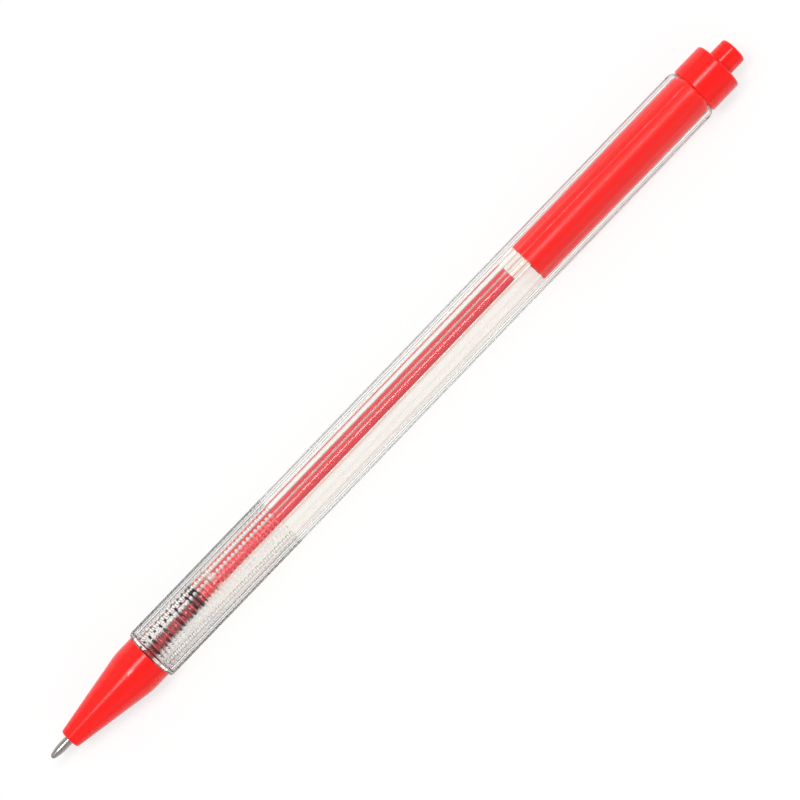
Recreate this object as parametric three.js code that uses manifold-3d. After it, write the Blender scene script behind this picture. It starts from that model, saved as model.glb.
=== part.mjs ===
// Pushbutton ballpoint pen with a clear, corner-flattened hexagonal barrel.
// Millimetres. The pen lies along X with its tip towards -X and its button towards +X,
// resting on one wide flat of the barrel, and +Z is up.
// It is drawn ready to write: tip out, button latched in.
// Places along the pen are measured as x from the point of the writing ball.

import * as THREE from 'three';
import { mergeVertices } from 'three/addons/utils/BufferGeometryUtils.js';
import Module from 'manifold-3d';

// Driving dimensions: fits and facets
const slideClearance = 0.1; // on the radius, between pieces that slide in each other
const pressClearance = 0.05; // on the radius, between pieces that are pushed together
const seatGap = 0.05; // between two faces that bear on each other
const roundSegments = 32;
const smallSegments = 20;

// Driving dimensions: travel of the refill and the button from the latched state
const retractTravel = 5.5;
const overTravel = 1.2;

// Driving dimensions: barrel
const barrelFront = 20.6;
const barrelLength = 113.6;
const acrossFlats = 8.23; // over two opposite wide flats
const acrossCorners = 8.63; // over two opposite narrow flats
const barrelBore = 6.4;
const frontChamfer = 0.35;
const rearChamfer = 0.5;
const rearChamferLength = 0.8;
const neckLength = 4.0; // pushed into the nose cone
const neckWall = 0.7;
const neckBore = 4.4;
const boreTaperLength = 1.6; // from the neck's bore out to the barrel's bore

// Driving dimensions: grip ribs, left standing by grooves across the six wide flats
const gripStart = 0.75; // behind the barrel's front end
const gripPitch = 0.785;
const gripCount = 34;
const gripDepth = 0.16;
const gripGroove = 0.34; // width of a groove's floor
const gripFlank = 0.09; // length of each sloping side of a groove

// Driving dimensions: nose cone
const noseFront = 3.74;
const noseFrontDiameter = 3.2;
const noseEdgeRadius = 0.3;
const noseRearDiameter = 7.65;
const noseConeLength = 14.3; // from the front face to the start of the cylinder
const noseBlend = 1.6; // length over which the cone rounds into the cylinder
const noseEdgeChamfer = 0.1;
const mouthLength = 1.6;
const mouthTaperLength = 1.4;
const springWell = 4.2; // bore round the spring

// Driving dimensions: writing tip and ball
const ballDiameter = 0.7;
const ballClearance = 0.02;
const rimSetback = 0.25; // of the socket's rim behind the point of the ball
const rimDiameter = 0.84;
const tipConeLength = 2.1;
const tipPointDiameter = 1.46; // the thin cylinder that shows in front of the nose
const tipPointLength = 4.6;
const shankDiameter = 2.3;
const shankLength = 1.8;
const tailDiameter = 1.5; // pushed into the holder
const tailLength = 4.5;
const inkChannel = 0.4; // through the point
const tipInkBore = 0.8;

// Driving dimensions: tip holder
const holderWall = 0.4; // round the tip's tail
const holderShoulder = 32.15; // the face that the spring bears on
const shoulderDiameter = 3.3;
const shoulderLength = 2.25;
const holderInkBore = 1.1;
const spigotLength = 3.0; // pushed into the refill tube
const holderChamfer = 0.1;

// Driving dimensions: refill tube and ink
const tubeOuter = 3.0;
const tubeInner = 1.6;
const tubeRear = 106.0;
const tubeBow = 0.8; // the tube leans over to one side of the barrel
const bowLength = 15.0; // over which it leans out
const inkRear = 96.6;
const inkClearance = 0.02;

// Driving dimensions: return spring
const springWire = 0.38;
const springOuter = 3.5;
const springPitch = 1.1;
const springEndPitch = 0.86;
const springEndCoils = 1.6; // closer coils at each end
const springSeat = 13.1; // the step in the nose that the spring stands on

// Driving dimensions: knock sleeve and its collar
const sleeveFront = 99.7;
const sleeveFrontDiameter = 5.75;
const sleeveBore = 4.9;
const sleeveEdgeChamfer = 0.12;
const sleeveGripLength = 12.0; // parallel part that holds in the barrel's bore
const collarDiameter = 8.0;
const collarLength = 5.6;
const collarFrontChamfer = 0.35;
const collarEdgeRadius = 0.35;
const collarDish = 0.3; // its rear face rises towards the button
const collarLedge = 1.4; // from its front face to the ledge that keeps the button in

// Driving dimensions: cam mechanism
const camCount = 4; // slots, fixed ribs, rotor ribs and button splines
const camFixedFront = 112.6; // where the fixed ribs begin
const camFixedLength = 10.4;
const camInner = 4.1; // bore between the fixed ribs
const camFixedAngle = 42; // degrees that a fixed rib takes
const camRamp = 0.9; // height of the slanted ends
const camRoot = 0.2; // how deep ribs and teeth are rooted in the piece that carries them
const crownLap = 0.25; // gap along the pen between facing ramps
const crownCount = 8;
const crownAngle = 42; // degrees that a crown tooth takes
const rotorRibAngle = 34;
const rotorRibLength = 2.6;
const rotorStemDiameter = 2.0;
const rotorStemLength = 3.2;
const splineAngle = 32;
const splineLength = 9.0;

// Driving dimensions: button
const buttonDiameter = 4.25;
const buttonProud = 3.15; // stands out of the collar when latched in
const buttonEdgeRadius = 0.45;
const buttonDome = 0.2;
const buttonCap = 2.4; // solid end above the hollow
const beadLength = 1.2; // the bead that stops the button at the ledge
const beadSlope = 0.3;

// Worked out from the driving dimensions
const barrelRear = barrelFront + barrelLength;
const neckFront = barrelFront - neckLength;
const neckRadius = neckBore / 2 + neckWall;
const ballRadius = ballDiameter / 2;
const tipPointRear = rimSetback + tipConeLength + tipPointLength;
const shankRear = tipPointRear + shankLength;
const tailRear = shankRear + tailLength;
const holderRadius = tailDiameter / 2 + pressClearance + holderWall;
const shoulderRear = holderShoulder + shoulderLength;
const spigotRear = shoulderRear + spigotLength;
const collarFront = barrelRear + seatGap;
const collarRear = collarFront + collarLength;
const ledge = collarFront + collarLedge;
const overallLength = collarRear + buttonProud;
const coreRadius = camInner / 2 - slideClearance; // of the rotor and the button's plunger
const ribRadius = sleeveBore / 2 - slideClearance; // of rotor ribs, splines and the bead
const rotorRear = camFixedFront - crownLap;
const camFixedRear = camFixedFront + camFixedLength;
const stemHole = rotorStemDiameter / 2 + slideClearance;

const wasm = await Module();
wasm.setup();

// A solid turned about the pen's axis from a profile of [x, radius] points.
function turned(profile, segments = roundSegments) {
  const points = profile.map(([x, radius]) => new THREE.Vector2(radius, x));
  const geometry = new THREE.LatheGeometry(points, segments);
  geometry.rotateZ(-Math.PI / 2);
  return geometry;
}

// Profile points round [x, radius], from one angle to another in degrees.
function arc(x, radius, size, from, to, steps = 4) {
  const points = [];
  for (let i = 0; i <= steps; i += 1) {
    const angle = THREE.MathUtils.degToRad(from + ((to - from) * i) / steps);
    points.push([x + size * Math.cos(angle), radius + size * Math.sin(angle)]);
  }
  return points;
}

// Profile points of a smooth bend from start to end that leaves and arrives along corner.
function bend(start, corner, end, steps) {
  const curve = new THREE.QuadraticBezierCurve(
    new THREE.Vector2(...start),
    new THREE.Vector2(...corner),
    new THREE.Vector2(...end),
  );
  return curve.getPoints(steps).map((point) => [point.x, point.y]);
}

// A closed skin over rings of points that all have the same count, flat at both ends.
// Each ring runs anticlockwise as seen from the last ring's side.
function loft(rings) {
  const count = rings[0].length;
  const index = [];
  for (let r = 0; r + 1 < rings.length; r += 1) {
    for (let i = 0; i < count; i += 1) {
      const a = r * count + i;
      const b = r * count + ((i + 1) % count);
      index.push(a, b, a + count, b, b + count, a + count);
    }
  }
  const last = (rings.length - 1) * count;
  for (let i = 1; i + 1 < count; i += 1) {
    index.push(0, i + 1, i);
    index.push(last, last + i, last + i + 1);
  }
  const geometry = new THREE.BufferGeometry();
  geometry.setAttribute('position', new THREE.Float32BufferAttribute(rings.flat(2), 3));
  geometry.setIndex(index);
  return geometry;
}

// A block between two radii, centred on an angle in degrees. Its ends along the pen follow
// front(t) and rear(t), with t from 0 to 1 across its width.
function sector(inner, outer, middle, width, front, rear, steps = 4) {
  const rings = [];
  for (let i = 0; i <= steps; i += 1) {
    const t = i / steps;
    const angle = THREE.MathUtils.degToRad(middle + (t - 0.5) * width);
    const y = Math.cos(angle);
    const z = Math.sin(angle);
    rings.push([
      [front(t), inner * y, inner * z],
      [rear(t), inner * y, inner * z],
      [rear(t), outer * y, outer * z],
      [front(t), outer * y, outer * z],
    ]);
  }
  return loft(rings);
}

function toManifold(geometry) {
  const bare = geometry.clone();
  bare.deleteAttribute('normal');
  bare.deleteAttribute('uv');
  const merged = mergeVertices(bare, 1e-5);
  const mesh = new wasm.Mesh({
    numProp: 3,
    vertProperties: merged.attributes.position.array,
    triVerts: Uint32Array.from(merged.index.array),
  });
  return new wasm.Manifold(mesh);
}

function toGeometry(solid) {
  const mesh = solid.getMesh();
  const geometry = new THREE.BufferGeometry();
  geometry.setAttribute('position', new THREE.BufferAttribute(mesh.vertProperties, 3));
  geometry.setIndex(new THREE.BufferAttribute(mesh.triVerts, 1));
  return geometry;
}

function joined(base, extras) {
  return extras.reduce((solid, extra) => solid.add(toManifold(extra)), toManifold(base));
}

// The same block repeated round the axis: make(angle in degrees).
function around(count, first, make) {
  return Array.from({ length: count }, (_, i) => make(first + (i * 360) / count));
}

// The barrel's outline at x: a hexagon whose corners are cut flat.
// Wide flats face straight up and down, and a narrow flat lies between each two of them.
function hexagonRing(x, wide, narrow) {
  const ring = [];
  const step = Math.PI / 6;
  for (let side = 0; side < 12; side += 1) {
    const angle = Math.PI / 2 + side * step;
    const here = side % 2 === 0 ? wide : narrow;
    const next = side % 2 === 0 ? narrow : wide;
    const along = (next - here * Math.cos(step)) / Math.sin(step);
    const y = here * Math.cos(angle) - along * Math.sin(angle);
    const z = here * Math.sin(angle) + along * Math.cos(angle);
    ring.push([x, y, z]);
  }
  return ring;
}

function makeBarrel() {
  const wide = acrossFlats / 2;
  const narrow = acrossCorners / 2;
  const floor = wide - gripDepth;
  const past = 1.0; // cutters and joins reach this far past a face
  const rings = [
    hexagonRing(barrelFront, wide - frontChamfer, narrow - frontChamfer),
    hexagonRing(barrelFront + frontChamfer, wide, narrow),
  ];
  for (let i = 0; i < gripCount; i += 1) {
    const x = barrelFront + gripStart + i * gripPitch;
    rings.push(hexagonRing(x, wide, narrow));
    rings.push(hexagonRing(x + gripFlank, floor, narrow));
    rings.push(hexagonRing(x + gripFlank + gripGroove, floor, narrow));
    rings.push(hexagonRing(x + 2 * gripFlank + gripGroove, wide, narrow));
  }
  rings.push(hexagonRing(barrelRear - rearChamferLength, wide, narrow));
  rings.push(hexagonRing(barrelRear, wide - rearChamfer, narrow - rearChamfer));
  const neck = turned([
    [neckFront, 0],
    [neckFront, neckRadius - frontChamfer],
    [neckFront + frontChamfer, neckRadius],
    [barrelFront + past, neckRadius],
    [barrelFront + past, 0],
  ]);
  const bore = turned([
    [neckFront - past, 0],
    [neckFront - past, neckBore / 2],
    [barrelFront, neckBore / 2],
    [barrelFront + boreTaperLength, barrelBore / 2],
    [barrelRear + past, barrelBore / 2],
    [barrelRear + past, 0],
  ]);
  return toGeometry(joined(loft(rings), [neck]).subtract(toManifold(bore)));
}

function makeNoseCone() {
  const front = noseFrontDiameter / 2;
  const rear = noseRearDiameter / 2;
  const edge = noseEdgeRadius;
  const coneEnd = noseFront + noseConeLength;
  const blendStart = coneEnd - noseBlend;
  const slope = (rear - front) / (noseConeLength - noseBlend / 2);
  const blendRadius = front + slope * (blendStart - noseFront);
  const mouth = tipPointDiameter / 2 + 2 * slideClearance;
  const guide = holderRadius + slideClearance;
  const well = springWell / 2;
  const socket = neckRadius + pressClearance;
  const rearFace = barrelFront - seatGap;
  return turned([
    [noseFront, mouth],
    ...arc(noseFront + edge, front - edge, edge, 180, 105),
    ...bend([blendStart, blendRadius], [coneEnd - noseBlend / 2, rear], [coneEnd, rear], 5),
    [rearFace - noseEdgeChamfer, rear],
    [rearFace, rear - noseEdgeChamfer],
    [rearFace, socket],
    [neckFront - seatGap, socket],
    [neckFront - seatGap, well],
    [springSeat, well],
    [springSeat, guide],
    [noseFront + mouthLength + mouthTaperLength, guide],
    [noseFront + mouthLength, mouth],
    [noseFront, mouth],
  ]);
}

function makeWritingBall() {
  const round = arc(ballRadius, 0, ballRadius, 170, 10, 14);
  return turned([[0, 0], ...round, [ballDiameter, 0]], smallSegments);
}

function makePenTip() {
  const seat = ballRadius + ballClearance;
  const rim = rimDiameter / 2;
  const point = tipPointDiameter / 2;
  const shank = shankDiameter / 2;
  const tail = tailDiameter / 2;
  const channel = inkChannel / 2;
  const inkBore = tipInkBore / 2;
  const coneRear = rimSetback + tipConeLength;
  const rimAngle = THREE.MathUtils.radToDeg(Math.acos((rimSetback - ballRadius) / seat));
  const channelAngle = THREE.MathUtils.radToDeg(Math.asin(channel / seat));
  const belly = [rimSetback + tipConeLength * 0.45, point * 0.9];
  return turned(
    [
      ...bend([rimSetback, rim], belly, [coneRear, point], 6),
      [tipPointRear, point],
      [tipPointRear + shank - point, shank],
      [shankRear, shank],
      [shankRear, tail],
      [tailRear, tail],
      [tailRear, inkBore],
      [tipPointRear, inkBore],
      [coneRear, channel],
      ...arc(ballRadius, 0, seat, channelAngle, rimAngle, 6),
      [rimSetback, rim],
    ],
    smallSegments,
  );
}

function makeTipHolder() {
  const front = shankRear + seatGap;
  const hole = tailDiameter / 2 + pressClearance;
  const holeRear = tailRear + seatGap;
  const shoulder = shoulderDiameter / 2;
  const spigot = tubeInner / 2 - pressClearance;
  const bore = holderInkBore / 2;
  return turned(
    [
      [front, hole],
      [front, holderRadius - holderChamfer],
      [front + holderChamfer, holderRadius],
      [holderShoulder, holderRadius],
      [holderShoulder, shoulder - holderChamfer],
      [holderShoulder + holderChamfer, shoulder],
      [shoulderRear, shoulder],
      [shoulderRear, spigot],
      [spigotRear, spigot],
      [spigotRear, bore],
      [holeRear, bore],
      [holeRear, hole],
      [front, hole],
    ],
    smallSegments,
  );
}

// Leans a turned solid over to +Y, as the refill tube lies in the barrel.
function leant(geometry) {
  const position = geometry.attributes.position;
  for (let i = 0; i < position.count; i += 1) {
    const lean = THREE.MathUtils.smoothstep(position.getX(i), spigotRear, spigotRear + bowLength);
    position.setY(i, position.getY(i) + tubeBow * lean);
  }
  return geometry;
}

// Stations along the stretch where the tube leans over.
function leanStations(radius) {
  const steps = 8;
  return Array.from({ length: steps + 1 }, (_, i) => [spigotRear + (bowLength * i) / steps, radius]);
}

function makeRefillTube() {
  const front = shoulderRear + seatGap;
  const outer = tubeOuter / 2;
  const inner = tubeInner / 2;
  return leant(
    turned(
      [
        [front, inner],
        [front, outer],
        ...leanStations(outer),
        [tubeRear, outer],
        [tubeRear, inner],
        ...leanStations(inner).reverse(),
        [front, inner],
      ],
      smallSegments,
    ),
  );
}

function makeInkColumn() {
  const inTip = tipInkBore / 2 - inkClearance;
  const inHolder = holderInkBore / 2 - inkClearance;
  const inTube = tubeInner / 2 - inkClearance;
  const holderStart = tailRear + 2 * seatGap;
  const tubeStart = spigotRear + seatGap;
  const stations = leanStations(inTube).slice(1);
  return leant(
    turned(
      [
        [tipPointRear + seatGap, 0],
        [tipPointRear + seatGap, inTip],
        [holderStart, inTip],
        [holderStart, inHolder],
        [tubeStart, inHolder],
        [tubeStart, inTube],
        ...stations,
        [inkRear, inTube],
        [inkRear, 0],
      ],
      smallSegments,
    ),
  );
}

// One unbroken wire, wound closer at both ends. It stands between the nose's step and the
// holder's shoulder, and its number of coils follows from the room between them.
function makeReturnSpring() {
  const stepsPerCoil = 8;
  const wireSides = 5;
  const wire = springWire / 2;
  const coilRadius = springOuter / 2 - wire;
  const start = springSeat + seatGap + wire;
  const end = holderShoulder - seatGap - wire;
  const endLength = springEndCoils * springEndPitch;
  const openCoils = (end - start - 2 * endLength) / springPitch;
  const coils = openCoils + 2 * springEndCoils;
  const steps = Math.round(coils * stepsPerCoil);
  const rings = [];
  for (let i = 0; i <= steps; i += 1) {
    const turn = (coils * i) / steps;
    const closeTurns = Math.min(turn, springEndCoils) + Math.max(0, turn - springEndCoils - openCoils);
    const openTurns = THREE.MathUtils.clamp(turn - springEndCoils, 0, openCoils);
    const x = start + closeTurns * springEndPitch + openTurns * springPitch;
    const angle = turn * 2 * Math.PI;
    const out = new THREE.Vector3(0, Math.cos(angle), Math.sin(angle));
    const along = new THREE.Vector3(
      springPitch / (2 * Math.PI),
      -coilRadius * Math.sin(angle),
      coilRadius * Math.cos(angle),
    ).normalize();
    const side = along.clone().cross(out);
    const centre = new THREE.Vector3(x, 0, 0).addScaledVector(out, coilRadius);
    const ring = [];
    for (let k = 0; k < wireSides; k += 1) {
      const round = (2 * Math.PI * k) / wireSides;
      const point = centre.clone();
      point.addScaledVector(out, wire * Math.cos(round));
      point.addScaledVector(side, wire * Math.sin(round));
      ring.push(point.toArray());
    }
    rings.push(ring);
  }
  console.log(`return_spring: ${coils.toFixed(1)} coils, least gap to itself `
    + `${leastGap(rings, stepsPerCoil / 2 + 1).toFixed(2)} mm`);
  return loft(rings);
}

// The least distance between points of rings that lie at least apart rings from each other.
function leastGap(rings, apart) {
  let least = Infinity;
  for (let i = 0; i < rings.length; i += 1) {
    for (let j = i + apart; j < rings.length; j += 1) {
      for (const p of rings[i]) {
        for (const q of rings[j]) {
          least = Math.min(least, Math.hypot(p[0] - q[0], p[1] - q[1], p[2] - q[2]));
        }
      }
    }
  }
  return least;
}

// Slides along the pen in front of the button. Its ribs run in the slots between the fixed
// ribs when the tip goes in, and its crown of ramps faces the button's.
function makeCamRotor() {
  const front = tubeRear + seatGap;
  const base = rotorRear - camRamp;
  const stem = rotorStemDiameter / 2;
  const core = turned(
    [
      [front, 0],
      [front, coreRadius - holderChamfer],
      [front + holderChamfer, coreRadius],
      [base, coreRadius],
      [base, stem],
      [rotorRear + rotorStemLength, stem],
      [rotorRear + rotorStemLength, 0],
    ],
    smallSegments,
  );
  const ramp = (t) => base + camRamp * t;
  const buried = () => base - camRoot;
  const crown = around(crownCount, 0, (angle) =>
    sector(stem - camRoot, coreRadius, angle, crownAngle, buried, ramp));
  const ribs = around(camCount, 0, (angle) =>
    sector(
      coreRadius - camRoot,
      ribRadius,
      angle,
      rotorRibAngle,
      () => rotorRear - rotorRibLength,
      ramp,
    ));
  return toGeometry(joined(core, [...crown, ...ribs]));
}

function makeKnockSleeve() {
  const frontRadius = sleeveFrontDiameter / 2;
  const rearRadius = barrelBore / 2 - pressClearance;
  const bore = sleeveBore / 2;
  const collar = collarDiameter / 2;
  const hole = buttonDiameter / 2 + slideClearance;
  const edge = collarEdgeRadius;
  const faceX = collarRear - collarDish;
  const shell = turned([
    [sleeveFront, bore + sleeveEdgeChamfer],
    [sleeveFront, frontRadius - sleeveEdgeChamfer],
    [sleeveFront + sleeveEdgeChamfer, frontRadius],
    [collarFront - sleeveGripLength, rearRadius],
    [collarFront, rearRadius],
    [collarFront, collar - collarFrontChamfer],
    [collarFront + collarFrontChamfer, collar],
    ...arc(faceX - edge, collar - edge, edge, 90, 0),
    [collarRear, hole + sleeveEdgeChamfer],
    [collarRear - sleeveEdgeChamfer, hole],
    [ledge, hole],
    [ledge, bore],
    [sleeveFront + sleeveEdgeChamfer, bore],
    [sleeveFront, bore + sleeveEdgeChamfer],
  ]);
  // Each fixed rib has two ramps at its front end, with the notch that latches between them.
  const halfWidth = camFixedAngle / 2;
  const lap = 0.5; // degrees by which the two halves of a rib run into each other
  const ribs = around(camCount, 45, (angle) =>
    [-1, 1].map((side) =>
      sector(
        camInner / 2,
        bore + camRoot,
        angle + (side * halfWidth) / 2,
        halfWidth + lap,
        (t) => camFixedFront + camRamp * t,
        () => camFixedRear,
      ))).flat();
  return toGeometry(joined(shell, ribs));
}

function makeKnockButton() {
  const radius = buttonDiameter / 2;
  const edge = buttonEdgeRadius;
  const top = overallLength;
  const front = rotorRear + crownLap;
  const splineRear = front + splineLength;
  const shaftFront = camFixedRear + overTravel + 2 * seatGap;
  const beadRear = ledge - retractTravel - seatGap;
  const beadFront = beadRear - beadLength;
  const plunger = turned([
    [front, stemHole],
    [front, coreRadius],
    [shaftFront, coreRadius],
    [shaftFront + radius - coreRadius, radius],
    [beadFront - beadSlope, radius],
    [beadFront, ribRadius],
    [beadRear, ribRadius],
    [beadRear, radius],
    ...arc(top - buttonDome - edge, radius - edge, edge, 90, 15),
    [top, 0],
    [top - buttonCap, 0],
    [top - buttonCap, stemHole],
    [front, stemHole],
  ]);
  const ramp = (t) => front - camRamp * (1 - t);
  const buried = () => front + camRoot;
  const crown = around(crownCount, 0, (angle) =>
    sector(stemHole, coreRadius, angle, crownAngle, ramp, buried));
  const splines = around(camCount, 0, (angle) =>
    sector(coreRadius - camRoot, ribRadius, angle, splineAngle, ramp, () => splineRear));
  return toGeometry(joined(plunger, [...crown, ...splines]));
}

const redPlastic = { color: 0xe81e1a, roughness: 0.25, metalness: 0 };
const materials = {
  clearPlastic: { color: 0xf2f4f2, roughness: 0.05, metalness: 0, transparent: true, opacity: 0.3 },
  nickelSilver: { color: 0xb9b7b0, roughness: 0.25, metalness: 1 },
  hardBall: { color: 0x8e8f92, roughness: 0.15, metalness: 1 },
  springSteel: { color: 0x55575a, roughness: 0.35, metalness: 1 },
  milkyPlastic: { color: 0xf0ece6, roughness: 0.35, metalness: 0, transparent: true, opacity: 0.6 },
  redInk: { color: 0xd8153a, roughness: 0.3, metalness: 0 },
  whiteAcetal: { color: 0xe9e7e0, roughness: 0.4, metalness: 0 },
};

const pen = new THREE.Group();
pen.name = 'pen';
// The origin is the middle of the pen's length, on the surface that it lies on.
pen.position.set(-overallLength / 2, 0, acrossFlats / 2);

function place(name, geometry, look) {
  const mesh = new THREE.Mesh(geometry, new THREE.MeshStandardMaterial(look));
  mesh.name = name;
  pen.add(mesh);
}

place('barrel', makeBarrel(), materials.clearPlastic);
place('nose_cone', makeNoseCone(), redPlastic);
place('writing_ball', makeWritingBall(), materials.hardBall);
place('pen_tip', makePenTip(), materials.nickelSilver);
place('tip_holder', makeTipHolder(), materials.milkyPlastic);
place('refill_tube', makeRefillTube(), materials.milkyPlastic);
place('ink_column', makeInkColumn(), materials.redInk);
place('return_spring', makeReturnSpring(), materials.springSteel);
place('cam_rotor', makeCamRotor(), materials.whiteAcetal);
place('knock_sleeve', makeKnockSleeve(), redPlastic);
place('knock_button', makeKnockButton(), redPlastic);

export default pen;
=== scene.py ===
import math

import bpy
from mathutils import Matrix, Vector


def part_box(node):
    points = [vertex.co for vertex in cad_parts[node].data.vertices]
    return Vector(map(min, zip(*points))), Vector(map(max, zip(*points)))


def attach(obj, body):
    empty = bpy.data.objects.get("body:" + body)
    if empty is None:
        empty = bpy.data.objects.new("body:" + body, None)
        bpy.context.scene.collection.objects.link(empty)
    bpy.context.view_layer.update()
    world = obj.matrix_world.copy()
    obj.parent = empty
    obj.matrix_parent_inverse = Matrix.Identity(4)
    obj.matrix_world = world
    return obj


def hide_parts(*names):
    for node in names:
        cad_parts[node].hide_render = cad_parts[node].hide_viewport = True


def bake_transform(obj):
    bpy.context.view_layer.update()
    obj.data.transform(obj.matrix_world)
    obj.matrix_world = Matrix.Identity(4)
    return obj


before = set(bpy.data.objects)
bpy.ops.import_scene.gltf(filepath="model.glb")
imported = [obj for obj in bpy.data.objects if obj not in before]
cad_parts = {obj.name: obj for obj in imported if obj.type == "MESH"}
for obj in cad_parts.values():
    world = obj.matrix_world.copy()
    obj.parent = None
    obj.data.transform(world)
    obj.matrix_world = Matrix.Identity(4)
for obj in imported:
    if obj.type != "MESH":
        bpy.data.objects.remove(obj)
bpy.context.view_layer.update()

mm = 0.001
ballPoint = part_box("writing_ball")[0].x  # every length along the pen is counted from here
barrelLow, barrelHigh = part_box("barrel")
axisHeight = (barrelLow.z + barrelHigh.z) / 2
mergeWithin = 1e-7  # metres, points closer than this are one point
pickWithin = 1e-6  # metres, a point this near to a place or plane lies on it
inkRear = 96.6  # millimetres, where the ink ends in the tube


# Places on the pen, in millimetres: along it from the ball's point, and out from its axis
def spot(x, radius=0.0, side=0.0):
    return Vector((ballPoint + x * mm, side * mm, axisHeight + radius * mm))


def pickOnly(piece):
    bpy.ops.object.select_all(action="DESELECT")
    piece.select_set(True)
    bpy.context.view_layer.objects.active = piece


def editAll(piece):
    pickOnly(piece)
    bpy.ops.object.mode_set(mode="EDIT")
    bpy.ops.mesh.select_all(action="SELECT")


# Selects the points that a test accepts, from object mode, and goes back to edit mode
def pickPoints(piece, accept):
    bpy.ops.object.mode_set(mode="OBJECT")
    for polygon in piece.data.polygons:
        polygon.select = False
    for edge in piece.data.edges:
        edge.select = False
    for vertex in piece.data.vertices:
        vertex.select = accept(vertex.co)
    bpy.ops.object.mode_set(mode="EDIT")
    bpy.ops.mesh.select_mode(type="VERT")


def closeUp(piece):
    editAll(piece)
    bpy.ops.mesh.remove_doubles(threshold=mergeWithin)
    bpy.ops.mesh.normals_make_consistent(inside=False)
    bpy.ops.object.mode_set(mode="OBJECT")


# Draws half of a section as a line of edges. A corner is (x, radius) or (x, radius, rounding),
# where the rounding is how far it reaches along both of its edges.
def drawSection(name, corners, roundSteps=5):
    bpy.ops.object.select_all(action="DESELECT")
    bpy.ops.mesh.primitive_plane_add(size=0.1 * mm, location=spot(*corners[0][:2]))
    piece = bpy.context.object
    piece.name = name
    bpy.ops.object.transform_apply(location=True, rotation=True, scale=True)
    editAll(piece)
    bpy.ops.mesh.merge(type="CENTER")
    for here, there in zip(corners, corners[1:]):
        step = spot(*there[:2]) - spot(*here[:2])
        bpy.ops.mesh.extrude_vertices_move(TRANSFORM_OT_translate={"value": step})
    for corner in corners:
        if len(corner) < 3:
            continue
        place = spot(*corner[:2])
        pickPoints(piece, lambda point: (point - place).length < pickWithin)
        bpy.ops.mesh.bevel(offset=corner[2] * mm, segments=roundSteps, affect="VERTICES")
    bpy.ops.object.mode_set(mode="OBJECT")
    return piece


# Spins a section about the pen's axis, all the way round or through a part of a turn
def spinSection(piece, steps, turn=2 * math.pi):
    editAll(piece)
    bpy.ops.mesh.spin(steps=steps, angle=turn, center=spot(0), axis=(1, 0, 0))
    bpy.ops.object.mode_set(mode="OBJECT")
    closeUp(piece)


def turnPiece(name, corners, steps, roundSteps=5):
    piece = drawSection(name, corners, roundSteps)
    spinSection(piece, steps)
    return piece


def applyModifier(piece, kind, **settings):
    pickOnly(piece)
    bpy.ops.object.modifier_add(type=kind)
    modifier = piece.modifiers[-1]
    for key, value in settings.items():
        setattr(modifier, key, value)
    bpy.ops.object.modifier_apply(modifier=modifier.name)


def joinWith(piece, tool, operation):
    applyModifier(piece, "BOOLEAN", object=tool, operation=operation, solver="MANIFOLD")
    bpy.data.objects.remove(tool)


def smoothByAngle(piece, degrees):
    pickOnly(piece)
    bpy.ops.object.shade_smooth_by_angle(angle=math.radians(degrees))


# A block between two radii, spun through a part of a turn about the pen's axis and centred on an
# angle. Its front end is slanted by a ramp across its width.
def camBlock(name, inner, outer, front, rear, centre, width, ramp):
    corners = [(front, inner), (front, outer), (rear, outer), (rear, inner)]
    piece = drawSection(name, corners)
    editAll(piece)
    bpy.ops.mesh.edge_face_add()
    bpy.ops.object.mode_set(mode="OBJECT")
    spinSection(piece, steps=8, turn=math.radians(width))
    middle = spot((front + rear) / 2).x
    for vertex in piece.data.vertices:
        if vertex.co.x < middle:
            out = vertex.co - spot(0)
            share = abs(math.degrees(math.atan2(out.y, out.z))) / width
            vertex.co.x += ramp * share * mm
    turnPoints(piece, centre + width / 2)
    return piece


# Turns a piece's points about the pen's axis
def turnPoints(piece, degrees):
    turn = math.radians(degrees)
    for vertex in piece.data.vertices:
        out = vertex.co - spot(0)
        vertex.co.y = out.y * math.cos(turn) - out.z * math.sin(turn)
        vertex.co.z = axisHeight + out.y * math.sin(turn) + out.z * math.cos(turn)


def finishPiece(piece, body, slot, material, *nodes):
    piece.data.materials.clear()
    piece.data.materials.append(material)
    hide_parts(*nodes)
    if body:
        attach(piece, body)
    print("made", piece.name, len(piece.data.polygons), "faces")


# Gives a second material to the faces that a test accepts
def giveFaces(piece, material, accept):
    piece.data.materials.append(material)
    for polygon in piece.data.polygons:
        if accept(polygon.center, polygon.normal):
            polygon.material_index = len(piece.data.materials) - 1


# Colours and materials
def colour(hexCode):
    shades = [int(hexCode[i:i + 2], 16) / 255 for i in (1, 3, 5)]
    linear = [s / 12.92 if s <= 0.04045 else ((s + 0.055) / 1.055) ** 2.4 for s in shades]
    return (*linear, 1.0)


def newMaterial(name):
    material = bpy.data.materials.new(name)
    material.use_nodes = True
    material.node_tree.nodes.clear()
    return material


# Adds one node with its settings, its fixed values and the outputs that feed it
def addNode(tree, kind, values=None, links=None, **settings):
    node = tree.nodes.new(kind)
    for key, value in settings.items():
        setattr(node, key, value)
    for key, value in (values or {}).items():
        node.inputs[key].default_value = value
    for key, source in (links or {}).items():
        tree.links.new(source, node.inputs[key])
    return node


# Noise over the piece, stretched along the pen. The size of a patch is in millimetres.
def patches(tree, size, stretch=1.0):
    coordinates = addNode(tree, "ShaderNodeTexCoord")
    scaled = addNode(tree, "ShaderNodeMapping", {"Scale": (1 / stretch, 1, 1)},
                     {"Vector": coordinates.outputs["Object"]})
    return addNode(tree, "ShaderNodeTexNoise", {"Scale": 1 / (size * mm), "Detail": 2.0},
                   {"Vector": scaled.outputs["Vector"]})


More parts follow.
